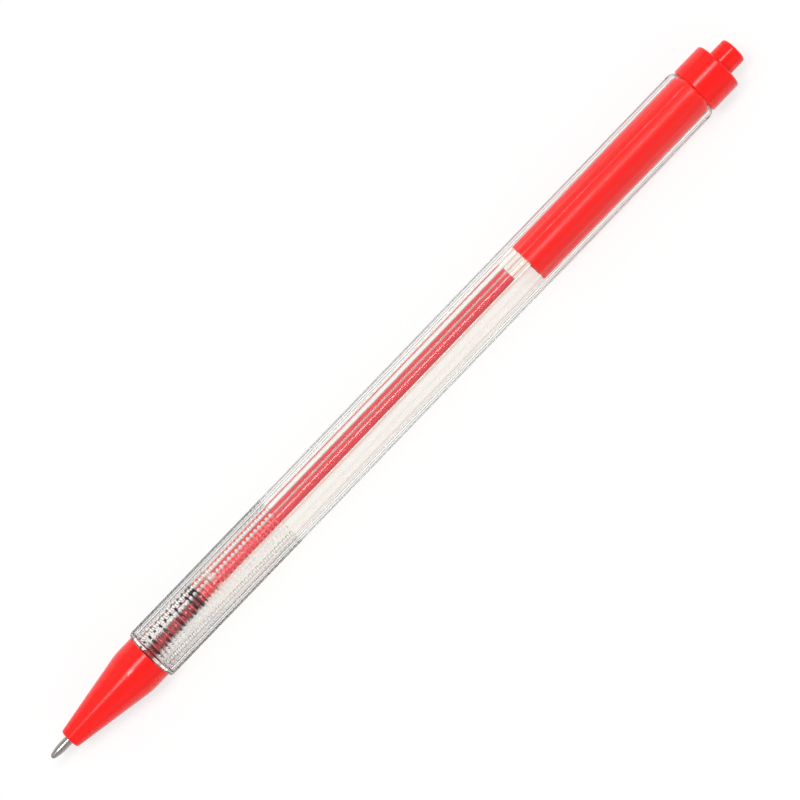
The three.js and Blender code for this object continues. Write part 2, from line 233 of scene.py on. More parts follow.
# The plastics that aren't opaque, and the paste, let lamps and bounced light straight through, tinted
def letLightThrough(tree, shader, tint):
    path = addNode(tree, "ShaderNodeLightPath")
    either = addNode(tree, "ShaderNodeMath", operation="MAXIMUM",
                     links={0: path.outputs["Is Shadow Ray"], 1: path.outputs["Is Diffuse Ray"]})
    clear = addNode(tree, "ShaderNodeBsdfTransparent", {"Color": colour(tint)})
    mix = addNode(tree, "ShaderNodeMixShader", links={
        0: either.outputs[0], 1: shader.outputs[0], 2: clear.outputs[0]})
    addNode(tree, "ShaderNodeOutputMaterial", links={"Surface": mix.outputs[0]})


# Clear polystyrene, injection moulded: water clear, with flow marks along it. The outside comes
# from a polished mould and the bore from its core pin. The mirror tints are set to match the
# photo: darker than the real plastic's, and darkest in the bore.
def makeClearPolystyrene(name, mirror):
    material = newMaterial(name)
    tree = material.node_tree
    flow = patches(tree, 0.9, stretch=14)
    tone = addNode(tree, "ShaderNodeMix", data_type="RGBA", values={
        "A": colour("#FEFEFE"), "B": colour("#FDFDFB")}, links={"Factor": flow.outputs["Fac"]})
    roughness = addNode(tree, "ShaderNodeMapRange", {"To Min": 0.0, "To Max": 0.004},
                        {"Value": flow.outputs["Fac"]})
    shader = addNode(tree, "ShaderNodeBsdfPrincipled", {
        "IOR": 1.58, "Transmission Weight": 1.0, "Specular Tint": colour(mirror)}, {
        "Base Color": tone.outputs["Result"], "Roughness": roughness.outputs["Result"]})
    letLightThrough(tree, shader, "#FDFCFA")
    return material


# The same plastic where the mould is spark eroded: a fine matt grain in the grooves of the grip's
# upper and lower flats
def makeMattPolystyrene():
    material = newMaterial("clearPolystyreneSparkEroded")
    tree = material.node_tree
    grain = patches(tree, 0.08)
    roughness = addNode(tree, "ShaderNodeMapRange", {"To Min": 0.3, "To Max": 0.4},
                        {"Value": grain.outputs["Fac"]})
    shader = addNode(tree, "ShaderNodeBsdfPrincipled", {
        "Base Color": colour("#FEFEFE"), "IOR": 1.58, "Transmission Weight": 1.0,
        "Specular Tint": colour("#808080")}, {"Roughness": roughness.outputs["Result"]})
    letLightThrough(tree, shader, "#FDFCFA")
    return material


# Red ABS, injection moulded and opaque, with a very faint orange peel: polished outside, satin on
# the sleeve that runs inside the barrel
def makeRedAbs(name, smoothest, roughest, shine):
    material = newMaterial(name)
    tree = material.node_tree
    peel = patches(tree, 0.5)
    cloud = patches(tree, 6.0, stretch=2)
    bump = addNode(tree, "ShaderNodeBump", {"Strength": 0.12, "Distance": 0.01 * mm},
                   {"Height": peel.outputs["Fac"]})
    tone = addNode(tree, "ShaderNodeMix", data_type="RGBA", values={
        "A": colour("#F81612"), "B": colour("#FB1D18")}, links={"Factor": cloud.outputs["Fac"]})
    roughness = addNode(tree, "ShaderNodeMapRange", {"To Min": smoothest, "To Max": roughest},
                        {"Value": peel.outputs["Fac"]})
    shader = addNode(tree, "ShaderNodeBsdfPrincipled", {
        "IOR": 1.52, "Specular IOR Level": shine}, {
        "Base Color": tone.outputs["Result"], "Roughness": roughness.outputs["Result"],
        "Normal": bump.outputs["Normal"]})
    addNode(tree, "ShaderNodeOutputMaterial", links={"Surface": shader.outputs[0]})
    return material


# Nickel silver, turned on an automatic lathe: bright, with rings from the tool
def makeNickelSilver():
    material = newMaterial("nickelSilverTurned")
    tree = material.node_tree
    ringPitch = 0.12  # millimetres; real tool marks are about 0.02, too fine to show
    bandPitch = math.pi / 10  # metres between the wave texture's bands at scale 1
    coordinates = addNode(tree, "ShaderNodeTexCoord")
    rings = addNode(tree, "ShaderNodeTexWave", {
        "Scale": bandPitch / (ringPitch * mm), "Distortion": 0.4, "Detail": 2.0},
        {"Vector": coordinates.outputs["Object"]}, bands_direction="X")
    bump = addNode(tree, "ShaderNodeBump", {"Strength": 0.1, "Distance": 0.004 * mm},
                   {"Height": rings.outputs["Fac"]})
    roughness = addNode(tree, "ShaderNodeMapRange", {"To Min": 0.12, "To Max": 0.24},
                        {"Value": rings.outputs["Fac"]})
    shader = addNode(tree, "ShaderNodeBsdfPrincipled", {
        "Base Color": colour("#A9A5A0"), "Metallic": 1.0}, {
        "Roughness": roughness.outputs["Result"], "Normal": bump.outputs["Normal"]})
    addNode(tree, "ShaderNodeOutputMaterial", links={"Surface": shader.outputs[0]})
    return material


# Tungsten carbide, ground and lapped: a dark grey mirror
def makeCarbide():
    material = newMaterial("tungstenCarbideLapped")
    tree = material.node_tree
    grain = patches(tree, 0.05)
    roughness = addNode(tree, "ShaderNodeMapRange", {"To Min": 0.04, "To Max": 0.1},
                        {"Value": grain.outputs["Fac"]})
    shader = addNode(tree, "ShaderNodeBsdfPrincipled", {
        "Base Color": colour("#9A9BA0"), "Metallic": 1.0}, {
        "Roughness": roughness.outputs["Result"]})
    addNode(tree, "ShaderNodeOutputMaterial", links={"Surface": shader.outputs[0]})
    return material


# Spring steel wire, hard drawn and phosphated: dark, with streaks left by the die
def makeSpringSteel():
    material = newMaterial("springSteelDrawn")
    tree = material.node_tree
    streaks = patches(tree, 0.08, stretch=0.5)
    tone = addNode(tree, "ShaderNodeMix", data_type="RGBA", values={
        "A": colour("#2B2C2E"), "B": colour("#434447")}, links={"Factor": streaks.outputs["Fac"]})
    roughness = addNode(tree, "ShaderNodeMapRange", {"To Min": 0.3, "To Max": 0.45},
                        {"Value": streaks.outputs["Fac"]})
    shader = addNode(tree, "ShaderNodeBsdfPrincipled", {"Metallic": 1.0}, {
        "Base Color": tone.outputs["Result"], "Roughness": roughness.outputs["Result"]})
    addNode(tree, "ShaderNodeOutputMaterial", links={"Surface": shader.outputs[0]})
    return material


# Natural polypropylene, extruded or moulded: clear enough to read the ink, a little milky and warm,
# and painted pink as far as the ink reaches: a painted glow for the red light that the ink throws
# into the wall
def makeMilkyPolypropylene():
    material = newMaterial("naturalPolypropylene")
    tree = material.node_tree
    draw = patches(tree, 0.4, stretch=20)
    bump = addNode(tree, "ShaderNodeBump", {"Strength": 0.04, "Distance": 0.01 * mm},
                   {"Height": draw.outputs["Fac"]})
    coordinates = addNode(tree, "ShaderNodeTexCoord")
    along = addNode(tree, "ShaderNodeSeparateXYZ", links={"Vector": coordinates.outputs["Object"]})
    fade = 1.0  # millimetres in which the painted pink glow ends
    # painted glow: the wall turns pink where the ink fills it, for red light from the ink, not a
    # colour of the plastic
    paintedInkGlow = addNode(tree, "ShaderNodeMapRange", {
        "From Min": spot(inkRear).x, "From Max": spot(inkRear - fade).x}, {
        "Value": along.outputs["X"]})
    tone = addNode(tree, "ShaderNodeMix", data_type="RGBA", values={
        "A": colour("#FBF4EE"), "B": colour("#F5CDC4")}, links={"Factor": paintedInkGlow.outputs["Result"]})
    roughness = addNode(tree, "ShaderNodeMapRange", {"To Min": 0.04, "To Max": 0.08},
                        {"Value": draw.outputs["Fac"]})
    shader = addNode(tree, "ShaderNodeBsdfPrincipled", {
        "IOR": 1.49, "Transmission Weight": 1.0}, {
        "Base Color": tone.outputs["Result"], "Roughness": roughness.outputs["Result"],
        "Normal": bump.outputs["Normal"]})
    # the pink that lamps and bounced light take on through the wall is painted too: it stands in for
    # red light from the ink
    letLightThrough(tree, shader, "#F4CEC4")
    return material


# Red writing paste: thick and wet against the tube, a little light shines through it
def makeRedPaste():
    material = newMaterial("redWritingPaste")
    tree = material.node_tree
    settled = patches(tree, 3.0, stretch=4)
    tone = addNode(tree, "ShaderNodeMix", data_type="RGBA", values={
        "A": colour("#F4647A"), "B": colour("#F8768A")}, links={"Factor": settled.outputs["Fac"]})
    roughness = addNode(tree, "ShaderNodeMapRange", {"To Min": 0.3, "To Max": 0.5},
                        {"Value": settled.outputs["Fac"]})
    shader = addNode(tree, "ShaderNodeBsdfPrincipled", {"IOR": 1.5, "Specular IOR Level": 0.1}, {
        "Base Color": tone.outputs["Result"], "Roughness": roughness.outputs["Result"]})
    letLightThrough(tree, shader, "#E47C6C")
    return material


# Acetal, moulded in natural white: satin and slippery
def makeWhiteAcetal():
    material = newMaterial("whiteAcetalMoulded")
    tree = material.node_tree
    grain = patches(tree, 0.3)
    bump = addNode(tree, "ShaderNodeBump", {"Strength": 0.15, "Distance": 0.01 * mm},
                   {"Height": grain.outputs["Fac"]})
    roughness = addNode(tree, "ShaderNodeMapRange", {"To Min": 0.38, "To Max": 0.5},
                        {"Value": grain.outputs["Fac"]})
    shader = addNode(tree, "ShaderNodeBsdfPrincipled", {
        "Base Color": colour("#ECEAE2"), "IOR": 1.48}, {
        "Roughness": roughness.outputs["Result"], "Normal": bump.outputs["Normal"]})
    addNode(tree, "ShaderNodeOutputMaterial", links={"Surface": shader.outputs[0]})
    return material


clearPolystyrene = makeClearPolystyrene("clearPolystyreneMoulded", "#8C8C8C")
coredPolystyrene = makeClearPolystyrene("clearPolystyreneCored", "#404040")
mattPolystyrene = makeMattPolystyrene()
redAbs = makeRedAbs("redAbsPolished", 0.14, 0.2, 0.3)
mattRedAbs = makeRedAbs("redAbsSatin", 0.34, 0.4, 0.28)
nickelSilver = makeNickelSilver()
carbide = makeCarbide()
springSteel = makeSpringSteel()
milkyPolypropylene = makeMilkyPolypropylene()
redPaste = makeRedPaste()
whiteAcetal = makeWhiteAcetal()
print("materials ready")


# Barrel: a hexagon with its corners cut flat, a neck that goes into the nose, and a round bore
barrel = {
    "front": 20.6, "rear": 134.2, "acrossFlats": 8.23, "acrossSides": 8.63, "acrossCorners": 8.76,
    "edgeRounding": 0.24, "frontChamfer": 0.2, "frontChamferLength": 0.45,
    "rearChamfer": 0.5, "rearChamferLength": 0.8,
    "bore": 6.6, "boreStart": 0.6, "boreEdge": 0.15,
    "neckLength": 4.0, "neckRadius": 2.9, "neckBore": 4.4,
    "gripStart": 0.75, "gripPitch": 0.785, "gripCount": 34, "gripDepth": 0.1,
    "gripFloor": 0.34, "gripFlank": 0.09, "gripRounding": 0.04, "ribTop": 0.01,
    "cutterTop": 0.5,  # how far the grip's cutter stands out of the flats
    "steps": 192,
}


def cutHexagon(size):
    flat = size["acrossFlats"] / 2
    slope = math.radians(30)
    bpy.ops.object.select_all(action="DESELECT")
    bpy.ops.mesh.primitive_circle_add(vertices=6, radius=flat / math.cos(slope) * mm,
                                      location=spot(size["front"]), rotation=(0, math.pi / 2, 0))
    piece = bpy.context.object
    bpy.ops.object.transform_apply(location=True, rotation=True, scale=True)
    for across, atSides in ((size["acrossSides"], True), (size["acrossCorners"], False)):
        pickOnly(piece)
        pickPoints(piece, lambda point: (abs(point.z - axisHeight) < flat / 2 * mm) == atSides)
        cornerCut = (flat / math.cos(slope) - across / 2) / math.sin(slope)
        bpy.ops.mesh.bevel(offset=cornerCut * mm, segments=1, affect="VERTICES")
        bpy.ops.object.mode_set(mode="OBJECT")
    editAll(piece)
    return piece, flat


def makeBarrel(size):
    piece, flat = cutHexagon(size)
    piece.name = "clear_barrel"
    frontScale = 1 - size["frontChamfer"] / flat
    stations = [
        (size["front"] + size["frontChamferLength"], 1 / frontScale),
        (size["rear"] - size["rearChamferLength"], 1),
        (size["rear"], 1 - size["rearChamfer"] / flat),
    ]
    bpy.ops.transform.resize(value=(1, frontScale, frontScale), center_override=spot(size["front"]))
    here = size["front"]
    for x, scale in stations:
        step = ((x - here) * mm, 0, 0)
        bpy.ops.mesh.extrude_region_move(TRANSFORM_OT_translate={"value": step})
        bpy.ops.transform.resize(value=(1, scale, scale), center_override=spot(x))
        here = x
    bpy.ops.mesh.edge_face_add()
    frontFace = spot(size["front"]).x
    pickPoints(piece, lambda point: abs(point.x - frontFace) < pickWithin)
    bpy.ops.mesh.edge_face_add()
    bpy.ops.object.mode_set(mode="OBJECT")
    closeUp(piece)
    applyModifier(piece, "BEVEL", width=size["edgeRounding"] * mm, segments=6,
                  limit_method="ANGLE", angle_limit=math.radians(20))
    print("barrel's outside drawn")

    neckFront = size["front"] - size["neckLength"]
    past = 1.0  # millimetres by which one shape runs into or past another
    neck = turnPiece("neck", [
        (neckFront, 0), (neckFront, size["neckRadius"], size["frontChamfer"]),
        (size["front"] + past, size["neckRadius"]), (size["front"] + past, 0)], size["steps"])
    joinWith(piece, neck, "UNION")
    boreFront = size["front"] + size["boreStart"]
    bore = turnPiece("bore", [
        (neckFront - past, 0), (neckFront - past, size["neckBore"] / 2),
        (boreFront, size["neckBore"] / 2), (boreFront, size["bore"] / 2, size["boreEdge"]),
        (size["rear"] + past, size["bore"] / 2), (size["rear"] + past, 0)], size["steps"])
    joinWith(piece, bore, "DIFFERENCE")
    print("barrel bored")

    ribs = drawSection("grip_ribs", ribCorners(size, flat))
    turnPoints(ribs, 30)  # from the middle of a flat to a corner, so that six steps follow the flats
    spinSection(ribs, steps=6)
    joinWith(piece, ribs, "DIFFERENCE")
    closeUp(piece)
    smoothByAngle(piece, 12)
    applyModifier(piece, "WEIGHTED_NORMAL", keep_sharp=True)
    finishPiece(piece, "barrel_group", "clear_polystyrene", clearPolystyrene, "barrel")
    boreWall = size["bore"] / 2 * mm
    giveFaces(piece, coredPolystyrene, lambda centre, normal: (
        abs(normal.x) < 0.01 and (centre - spot(0)).yz.length < boreWall * 1.01))
    grooveFloor = (flat - size["gripDepth"]) * mm
    giveFaces(piece, mattPolystyrene, lambda centre, normal: (
        abs(normal.z) > 0.99 and abs(abs(centre.z - axisHeight) - grooveFloor) < pickWithin))


# The line that cuts the grip: grooves between ribs, all of their corners rounded
def ribCorners(size, flat):
    toCorner = 1 / math.cos(math.radians(30))
    above = (flat + size["cutterTop"]) * toCorner
    top = (flat - size["ribTop"]) * toCorner
    floor = (flat - size["gripDepth"]) * toCorner
    start = size["front"] + size["gripStart"]
    corners = [(start, above)]
    for i in range(size["gripCount"]):
        first = start + i * size["gripPitch"]
        last = first + 2 * size["gripFlank"] + size["gripFloor"]
        corners += [(first, top, size["gripRounding"]),
                    (first + size["gripFlank"], floor, size["gripRounding"]),
                    (last - size["gripFlank"], floor, size["gripRounding"]),
                    (last, top, size["gripRounding"])]
    return corners + [(last, above), (start, above)]


makeBarrel(barrel)


# Nose cone: a straight cone that rounds into a short cylinder, bored for the tip and the spring
nose = {
    "front": 3.74, "rear": 20.55, "frontRadius": 1.6, "rearRadius": 3.825, "frontEdge": 0.3,
    "coneEnd": 17.24, "coneBlend": 0.8, "rearEdge": 0.1, "socketRadius": 2.95, "socket": 16.55,
    "mouth": 0.93, "mouthLength": 1.6, "mouthTaper": 1.4, "guide": 1.3,
    "well": 2.1, "springSeat": 13.1,
}


def makeNose(size):
    mouthRear = size["front"] + size["mouthLength"]
    piece = turnPiece("red_nose", [
        (size["front"], size["mouth"]),
        (size["front"], size["frontRadius"], size["frontEdge"]),
        (size["coneEnd"], size["rearRadius"], size["coneBlend"]),
        (size["rear"], size["rearRadius"], size["rearEdge"]),
        (size["rear"], size["socketRadius"]),
        (size["socket"], size["socketRadius"]), (size["socket"], size["well"]),
        (size["springSeat"], size["well"]), (size["springSeat"], size["guide"]),
        (mouthRear + size["mouthTaper"], size["guide"]),
        (mouthRear, size["mouth"]), (size["front"], size["mouth"])], steps=160, roundSteps=8)
    smoothByAngle(piece, 25)
    finishPiece(piece, "barrel_group", "red_abs", redAbs, "nose_cone")


makeNose(nose)


# Writing tip and its ball
tip = {
    "rim": 0.25, "rimRadius": 0.42, "rimWall": 0.045, "rimEdge": 0.03,
    # where the cone bulges: its shares of the cone's length and of the point's radius
    "bulgeAlong": 0.62, "bulgeOut": 0.94, "bulgeRounding": 0.5,
    "coneEnd": 2.35, "coneRounding": 0.25, "pointRadius": 0.73, "pointEnd": 6.95,
    "shankRadius": 1.15, "shankEnd": 8.75, "shankEdge": 0.05,
    "tailRadius": 0.75, "tailEnd": 13.25, "tailEdge": 0.08,
    "inkBore": 0.4, "channel": 0.2, "socketStart": 0.62,
}
ball = {"radius": 0.35, "rings": 24, "segments": 48}


def makeTip(size):
    shoulder = size["shankRadius"] - size["pointRadius"]
    bulge = (size["coneEnd"] * size["bulgeAlong"], size["pointRadius"] * size["bulgeOut"])
    piece = turnPiece("writing_tip", [
        (size["rim"], size["rimRadius"] - size["rimWall"]),
        (size["rim"], size["rimRadius"], size["rimEdge"]),
        (*bulge, size["bulgeRounding"]),
        (size["coneEnd"], size["pointRadius"], size["coneRounding"]),
        (size["pointEnd"], size["pointRadius"]),
        (size["pointEnd"] + shoulder, size["shankRadius"], size["shankEdge"]),
        (size["shankEnd"], size["shankRadius"], size["shankEdge"]),
        (size["shankEnd"], size["tailRadius"]),
        (size["tailEnd"], size["tailRadius"], size["tailEdge"]),
        (size["tailEnd"], size["inkBore"]), (size["pointEnd"], size["inkBore"]),
        (size["coneEnd"], size["channel"]), (size["socketStart"], size["channel"]),
        (size["rim"], size["rimRadius"] - size["rimWall"])], steps=96)
    smoothByAngle(piece, 30)
    finishPiece(piece, "refill_group", "nickel_silver", nickelSilver, "pen_tip")


def makeBall(size):
    bpy.ops.object.select_all(action="DESELECT")
    bpy.ops.mesh.primitive_uv_sphere_add(
        segments=size["segments"], ring_count=size["rings"], radius=size["radius"] * mm,
        location=spot(size["radius"]), rotation=(0, math.pi / 2, 0))
    piece = bpy.context.object
    piece.name = "carbide_ball"
    bpy.ops.object.transform_apply(location=True, rotation=True, scale=True)
    bpy.ops.object.shade_smooth()
    finishPiece(piece, "ball", "hard_ball", carbide, "writing_ball")


makeTip(tip)
makeBall(ball)


# Refill: the holder that the spring pushes on, the tube, and the ink inside both
holder = {
    "front": 8.8, "radius": 1.2, "shoulder": 32.15, "shoulderRadius": 1.65, "shoulderRear": 34.4,
    "spigotRadius": 0.79, "spigotRear": 35.4, "inkBore": 0.8, "inkBoreRear": 33.9,
    "spigotBore": 0.7, "tipRear": 13.3, "edge": 0.1, "fillet": 0.05,
}
tube = {
    "front": 34.45, "rear": 106.0, "radius": 1.5, "bore": 0.8, "edge": 0.05,
    "lean": 0.84, "leanStart": 10.0, "leanLength": 28.0,
}
ink = {
    "front": 7.0, "rear": inkRear, "edge": 0.04,
    "tipGap": 0.02, "overlap": 0.004,  # clear of the tip's wall, and into the plastic ones
    "stepGap": 0.05,  # along the pen, to each step of the bore
    "dip": 0.5, "dipShare": 0.4, "dipRounding": 0.2,  # the hollow at its rear end
}


# The refill bends over to one side of the barrel, from behind its tip on
def leanOver(piece):
    start = spot(tube["leanStart"]).x
    for vertex in piece.data.vertices:
        share = min(max((vertex.co.x - start) / (tube["leanLength"] * mm), 0.0), 1.0)
        vertex.co.y += tube["lean"] * mm * share * share * (3 - 2 * share)


# Corners along the stretch that bends, for a wall at one radius
def leanStations(radius, after, before=math.inf):
    steps = 22
    places = [tube["leanStart"] + tube["leanLength"] * i / steps for i in range(steps + 1)]
    return [(place, radius) for place in places if after < place < before]


def makeHolder(size):
    bore = leanStations(size["inkBore"], size["front"], size["inkBoreRear"])
    piece = turnPiece("tip_holder_clear", [
        (size["front"], size["inkBore"]), (size["front"], size["radius"], size["edge"]),
        *leanStations(size["radius"], size["front"], size["shoulder"] - 2 * size["fillet"]),
        (size["shoulder"], size["radius"], size["fillet"]),
        (size["shoulder"], size["shoulderRadius"], size["edge"]),
        (size["shoulderRear"], size["shoulderRadius"], size["edge"]),
        (size["shoulderRear"], size["spigotRadius"]), (size["spigotRear"], size["spigotRadius"]),
        (size["spigotRear"], size["spigotBore"]), (size["inkBoreRear"], size["spigotBore"]),
        (size["inkBoreRear"], size["inkBore"]), *reversed(bore),
        (size["front"], size["inkBore"])], steps=96)
    leanOver(piece)
    smoothByAngle(piece, 25)
    finishPiece(piece, "refill_group", "milky_polypropylene", milkyPolypropylene, "tip_holder")


def makeTube(size):
    piece = turnPiece("refill_tube_clear", [
        (size["front"], size["bore"]), (size["front"], size["radius"]),
        *leanStations(size["radius"], size["front"]),
        (size["rear"], size["radius"], size["edge"]), (size["rear"], size["bore"]),
        *reversed(leanStations(size["bore"], size["front"])),
        (size["front"], size["bore"])], steps=96)
    leanOver(piece)
    smoothByAngle(piece, 25)
    finishPiece(piece, "refill_group", "milky_polypropylene", milkyPolypropylene, "refill_tube")


def makeInk(size):
    inTip = tip["inkBore"] - size["tipGap"]
    inHolder = holder["inkBore"] + size["overlap"]
    inSpigot = holder["spigotBore"] + size["overlap"]
    inTube = tube["bore"] + size["overlap"]
    holderStart = holder["tipRear"] + size["stepGap"]
    spigotStart = holder["inkBoreRear"] - size["stepGap"]
    tubeStart = holder["spigotRear"] + size["stepGap"]
    hollow = size["rear"] - size["dip"]
    piece = turnPiece("red_ink_column", [
        (size["front"], 0), (size["front"], inTip),
        (holderStart, inTip), (holderStart, inHolder),
        *leanStations(inHolder, holderStart, spigotStart),
        (spigotStart, inHolder), (spigotStart, inSpigot),
        (tubeStart, inSpigot), (tubeStart, inTube), *leanStations(inTube, tubeStart),
        (size["rear"], inTube, size["edge"]),
        (hollow, inTube * size["dipShare"], size["dipRounding"]), (hollow, 0)], steps=96)
    leanOver(piece)
    smoothByAngle(piece, 40)
    finishPiece(piece, "refill_group", "red_ink", redPaste, "ink_column")


makeHolder(holder)
makeTube(tube)
makeInk(ink)


# Return spring: one wire, wound open in the middle with coils that touch at both ends
spring = {
    "front": 13.15, "rear": 32.1, "wire": 0.19, "coilRadius": 1.56, "pitch": 1.1,
    "closedPitch": 0.4, "closedCoils": 2.6, "stepsPerCoil": 36, "wireSides": 12,
}


def makeSpring(size):
    start = size["front"] + size["wire"]
    end = size["rear"] - size["wire"]
    closed = size["closedCoils"] * size["closedPitch"]
    openCoils = (end - start - 2 * closed) / size["pitch"]
    coils = openCoils + 2 * size["closedCoils"]
    steps = round(coils * size["stepsPerCoil"])
    line = bpy.data.curves.new("return_spring_wire", "CURVE")
    line.dimensions = "3D"
    line.bevel_depth = size["wire"] * mm
    line.bevel_resolution = (size["wireSides"] - 4) // 2
    line.use_fill_caps = True
    spline = line.splines.new("POLY")
    spline.points.add(steps)
    for i, point in enumerate(spline.points):
        turn = coils * i / steps
        tight = min(turn, size["closedCoils"]) + max(0, turn - size["closedCoils"] - openCoils)
        loose = min(max(turn - size["closedCoils"], 0), openCoils)
        x = start + tight * size["closedPitch"] + loose * size["pitch"]
        angle = turn * 2 * math.pi
        place = spot(x, size["coilRadius"] * math.sin(angle), size["coilRadius"] * math.cos(angle))
        point.co = (*place, 1)
    piece = bpy.data.objects.new("return_spring_wire", line)
    bpy.context.collection.objects.link(piece)
    pickOnly(piece)
    bpy.ops.object.convert(target="MESH")
    piece = bpy.context.object
    leanOver(piece)
    closeUp(piece)
    bpy.ops.object.shade_smooth()
    finishPiece(piece, None, "spring_steel", springSteel, "return_spring")
    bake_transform(piece)
    print("spring has", round(coils, 1), "coils")


makeSpring(spring)


# Knock sleeve with its collar, and the fixed ribs of the cam inside it
sleeve = {
    "front": 99.7, "frontRadius": 2.875, "rearRadius": 3.15, "gripFront": 122.25, "bore": 2.45,
    "collarFront": 134.25, "collarRear": 139.85, "collarRadius": 4.0, "collarEdge": 0.35,
    "dish": 0.3, "hole": 2.225, "ledge": 135.65, "edge": 0.12,
}
cam = {
    "count": 4, "fixedFront": 112.6, "fixedRear": 123.0, "fixedInner": 2.05,
    "fixedWidth": 42, "overlap": 0.5,  # degrees; a fixed rib has two halves that overlap
    "ramp": 0.9, "root": 0.2,
}


def makeSleeve(size):
    piece = turnPiece("red_knock_sleeve", [
        (size["front"], size["bore"]),
        (size["front"], size["frontRadius"], size["edge"]),
        (size["gripFront"], size["rearRadius"]), (size["collarFront"], size["rearRadius"]),
        (size["collarFront"], size["collarRadius"], size["collarEdge"]),
        (size["collarRear"] - size["dish"], size["collarRadius"], size["collarEdge"]),
        (size["collarRear"], size["hole"], size["edge"]),
        (size["ledge"], size["hole"]), (size["ledge"], size["bore"]),
        (size["front"], size["bore"])], steps=160)
    for i in range(cam["count"]):
        middle = (i + 0.5) * 360 / cam["count"]
        for side in (-1, 1):
            rib = camBlock("fixed_rib", cam["fixedInner"], size["bore"] + cam["root"],
                           cam["fixedFront"], cam["fixedRear"],
                           middle + side * cam["fixedWidth"] / 4,
                           cam["fixedWidth"] / 2 + cam["overlap"], cam["ramp"])
            joinWith(piece, rib, "UNION")
    smoothByAngle(piece, 25)
    finishPiece(piece, "barrel_group", "red_abs", redAbs, "knock_sleeve")
    collarFront = spot(size["collarFront"]).x
    giveFaces(piece, mattRedAbs, lambda centre, normal: centre.x < collarFront)


makeSleeve(sleeve)


# Button, with the splines that run in the sleeve's slots and the crown that turns the rotor
button = {
    "front": 112.6, "core": 1.95, "hole": 1.1, "shaftFront": 124.3, "radius": 2.125,
    "beadFront": 128.9, "beadRear": 130.1, "beadRadius": 2.35, "beadSlope": 0.3,
    "top": 143.0, "dome": 0.2, "edge": 0.45, "cap": 2.4,
    "splines": 4, "splineWidth": 32, "splineLength": 9.0, "teeth": 8, "toothWidth": 42,
}


def makeButton(size):
    shoulder = size["top"] - size["dome"]
    piece = turnPiece("red_knock_button", [
        (size["front"], size["hole"]), (size["front"], size["core"]),
        (size["shaftFront"], size["core"]),
        (size["shaftFront"] + size["radius"] - size["core"], size["radius"]),
        (size["beadFront"] - size["beadSlope"], size["radius"]),
        (size["beadFront"], size["beadRadius"]), (size["beadRear"], size["beadRadius"]),
        (size["beadRear"], size["radius"]),
        (shoulder, size["radius"], size["edge"]), (size["top"], 0),
        (size["top"] - size["cap"], 0), (size["top"] - size["cap"], size["hole"]),
        (size["front"], size["hole"])], steps=128, roundSteps=8)
    for i in range(size["teeth"]):
        tooth = camBlock("crown_tooth", size["hole"], size["core"],
                         size["front"] - cam["ramp"], size["front"] + cam["root"],
                         i * 360 / size["teeth"], size["toothWidth"], cam["ramp"])
        joinWith(piece, tooth, "UNION")
    for i in range(size["splines"]):
        spline = camBlock("spline", size["core"] - cam["root"], size["beadRadius"],
                          size["front"] - cam["ramp"], size["front"] + size["splineLength"],
                          i * 360 / size["splines"], size["splineWidth"], cam["ramp"])
        joinWith(piece, spline, "UNION")
    smoothByAngle(piece, 25)
    finishPiece(piece, "button", "red_abs", redAbs, "knock_button")


makeButton(button)

# The rotor is wholly inside the sleeve, so it stays as it was drawn and only gets its material
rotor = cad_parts["cam_rotor"]
rotor.data.materials.clear()
rotor.data.materials.append(whiteAcetal)
print("rotor finished")


# Floor, light and camera
studio = {
    "floorSize": 8.0,  # metres
    "paper": ("#FAFAF9", "#FBFBFA"),
    # how much of the floor is plain white to the camera, and as metal and glass show it
    "glowSeen": 0.75, "glowThrough": 0.35,
    "skyThrough": 0.5,  # the least that metal and glass see of the room
    "lowest": 0.01,  # a lower height counts as this one, so that no slope is endless
    # how bright the room is at each height, from 0 at the horizon to 1 overhead
    "room": [(0.0, 0.35), (0.12, 0.55), (0.3, 0.7), (0.65, 0.7), (0.94, 0.1)],
    # leaning over to +Y and along the pen, then spread across and along it, in degrees; strength
    "lights": [(18, 0, 4.5, 20, 12.5), (13, -16, 2, 3.5, 55.0)],
}
# The camera looks straight down: its turn is in degrees, the rest in millimetres
photo = {
    "turn": -46.07, "lens": 180.0, "sensor": 36.0, "width": 116.1,
    "right": 0.943, "up": 0.435,
}


# How much metal and glass show of a white background: a share for their rays, none for the others
def seenThrough(tree, path, share):
    either = addNode(tree, "ShaderNodeMath", operation="MAXIMUM", links={
        0: path.outputs["Is Glossy Ray"], 1: path.outputs["Is Transmission Ray"]})
    return addNode(tree, "ShaderNodeMath", {1: share}, {0: either.outputs[0]},
                   operation="MULTIPLY").outputs[0]


def makeFloor(size):
    material = newMaterial("whitePaperSweep")
    tree = material.node_tree
    fibre = patches(tree, 2.0)
    pale, paler = size["paper"]
    tone = addNode(tree, "ShaderNodeMix", data_type="RGBA", values={
        "A": colour(pale), "B": colour(paler)}, links={"Factor": fibre.outputs["Fac"]})
    lit = addNode(tree, "ShaderNodeBsdfDiffuse", links={"Color": tone.outputs["Result"]})
    glow = addNode(tree, "ShaderNodeEmission", {"Color": colour("#FDFDFD"), "Strength": 1.0})
    path = addNode(tree, "ShaderNodeLightPath")
    share = addNode(tree, "ShaderNodeMath", {1: size["glowSeen"]}, {
        0: path.outputs["Is Camera Ray"], 2: seenThrough(tree, path, size["glowThrough"])},
        operation="MULTIPLY_ADD")
    mix = addNode(tree, "ShaderNodeMixShader", links={
        0: share.outputs[0], 1: lit.outputs[0], 2: glow.outputs[0]})
    addNode(tree, "ShaderNodeOutputMaterial", links={"Surface": mix.outputs[0]})
    bpy.ops.object.select_all(action="DESELECT")
    bpy.ops.mesh.primitive_plane_add(size=size["floorSize"], location=(0, 0, 0))
    floor = bpy.context.object
    floor.name = "paper_sweep"
    floor.data.materials.append(material)


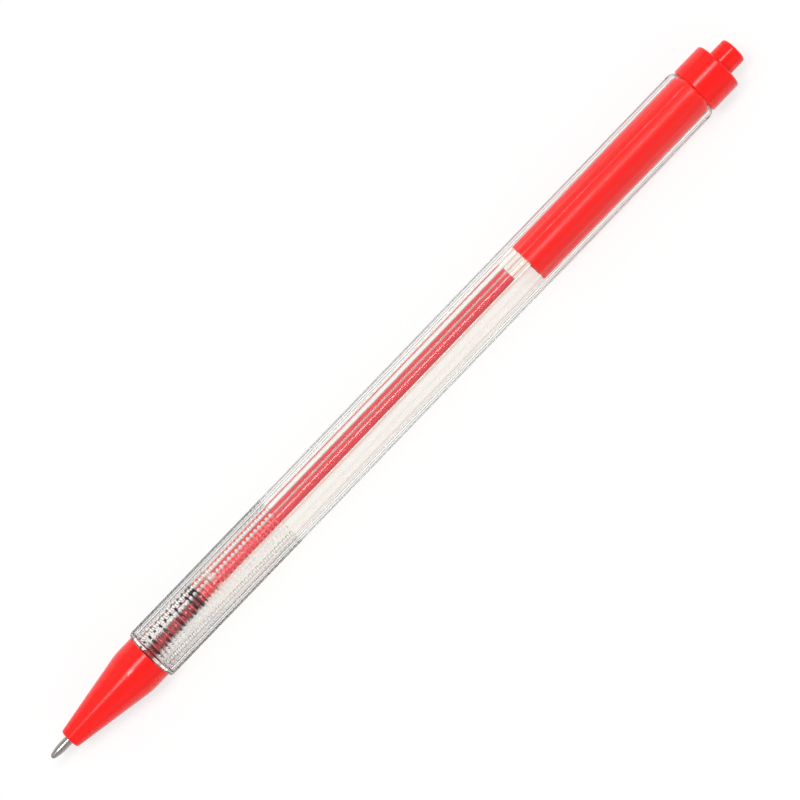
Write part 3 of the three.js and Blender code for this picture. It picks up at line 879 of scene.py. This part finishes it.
# How far a direction is from a line of light, in spreads, squared and halved
def awayFrom(tree, source, height, lean, spread):
    slope = addNode(tree, "ShaderNodeMath", links={0: source, 1: height}, operation="DIVIDE")
    offset = addNode(tree, "ShaderNodeMath", {1: math.tan(math.radians(lean))},
                     {0: slope.outputs[0]}, operation="SUBTRACT")
    scaled = addNode(tree, "ShaderNodeMath", {1: math.tan(math.radians(spread)) * math.sqrt(2)},
                     {0: offset.outputs[0]}, operation="DIVIDE")
    return addNode(tree, "ShaderNodeMath", {1: 2.0}, {0: scaled.outputs[0]},
                   operation="POWER").outputs[0]


# A room that is darker overhead, with soft lights that lean over to the +Y side. The camera sees
# it white.
def makeSky(size):
    world = bpy.data.worlds.new("white_room")
    world.use_nodes = True
    tree = world.node_tree
    tree.nodes.clear()
    direction = addNode(tree, "ShaderNodeTexCoord")
    parts = addNode(tree, "ShaderNodeSeparateXYZ", links={0: direction.outputs["Generated"]})
    height = addNode(tree, "ShaderNodeMath", {1: size["lowest"]}, {0: parts.outputs["Z"]},
                     operation="MAXIMUM").outputs[0]
    walls = addNode(tree, "ShaderNodeValToRGB", links={"Fac": height})
    stops = walls.color_ramp.elements
    while len(stops) < len(size["room"]):
        stops.new(1.0)
    for stop, (place, level) in zip(stops, size["room"]):
        stop.position = place
        stop.color = (level, level, level, 1)
    total = walls.outputs["Color"]
    for overY, overX, across, along, strength in size["lights"]:
        away = addNode(tree, "ShaderNodeMath", links={
            0: awayFrom(tree, parts.outputs["Y"], height, overY, across),
            1: awayFrom(tree, parts.outputs["X"], height, overX, along)}, operation="ADD")
        fall = addNode(tree, "ShaderNodeMath", {0: math.exp(-1)}, {1: away.outputs[0]},
                       operation="POWER")
        total = addNode(tree, "ShaderNodeMath", {1: strength}, {
            0: fall.outputs[0], 2: total}, operation="MULTIPLY_ADD").outputs[0]
    path = addNode(tree, "ShaderNodeLightPath")
    total = addNode(tree, "ShaderNodeMath", operation="MAXIMUM", links={
        0: total, 1: seenThrough(tree, path, size["skyThrough"])}).outputs[0]
    room = addNode(tree, "ShaderNodeBackground", {"Color": colour("#FFFFFF")}, {
        "Strength": total})
    seen = addNode(tree, "ShaderNodeBackground", {"Color": colour("#FDFDFD"), "Strength": 1.0})
    sky = addNode(tree, "ShaderNodeMixShader", links={
        0: path.outputs["Is Camera Ray"], 1: room.outputs[0], 2: seen.outputs[0]})
    addNode(tree, "ShaderNodeOutputWorld", links={"Surface": sky.outputs[0]})
    bpy.context.scene.world = world


def makeCamera(view):
    turn = math.radians(view["turn"])
    right = Vector((math.cos(turn), math.sin(turn), 0))
    up = Vector((-math.sin(turn), math.cos(turn), 0))
    camera = bpy.data.cameras.new("photo_camera")
    camera.lens = view["lens"]
    camera.sensor_width = view["sensor"]
    camera.clip_start, camera.clip_end = 0.01, 20
    distance = view["width"] * view["lens"] / view["sensor"] * mm
    stand = bpy.data.objects.new("photo_camera", camera)
    stand.location = (right * view["right"] + up * view["up"]) * mm
    stand.location.z = axisHeight + distance
    stand.rotation_euler = (0, 0, turn)
    bpy.context.collection.objects.link(stand)
    bpy.context.scene.camera = stand


makeFloor(studio)
makeSky(studio)
makeCamera(photo)
bpy.context.scene.view_settings.view_transform = "Standard"
bpy.context.scene.cycles.transmission_bounces = 24
bpy.context.scene.cycles.max_bounces = 32
print("studio ready")
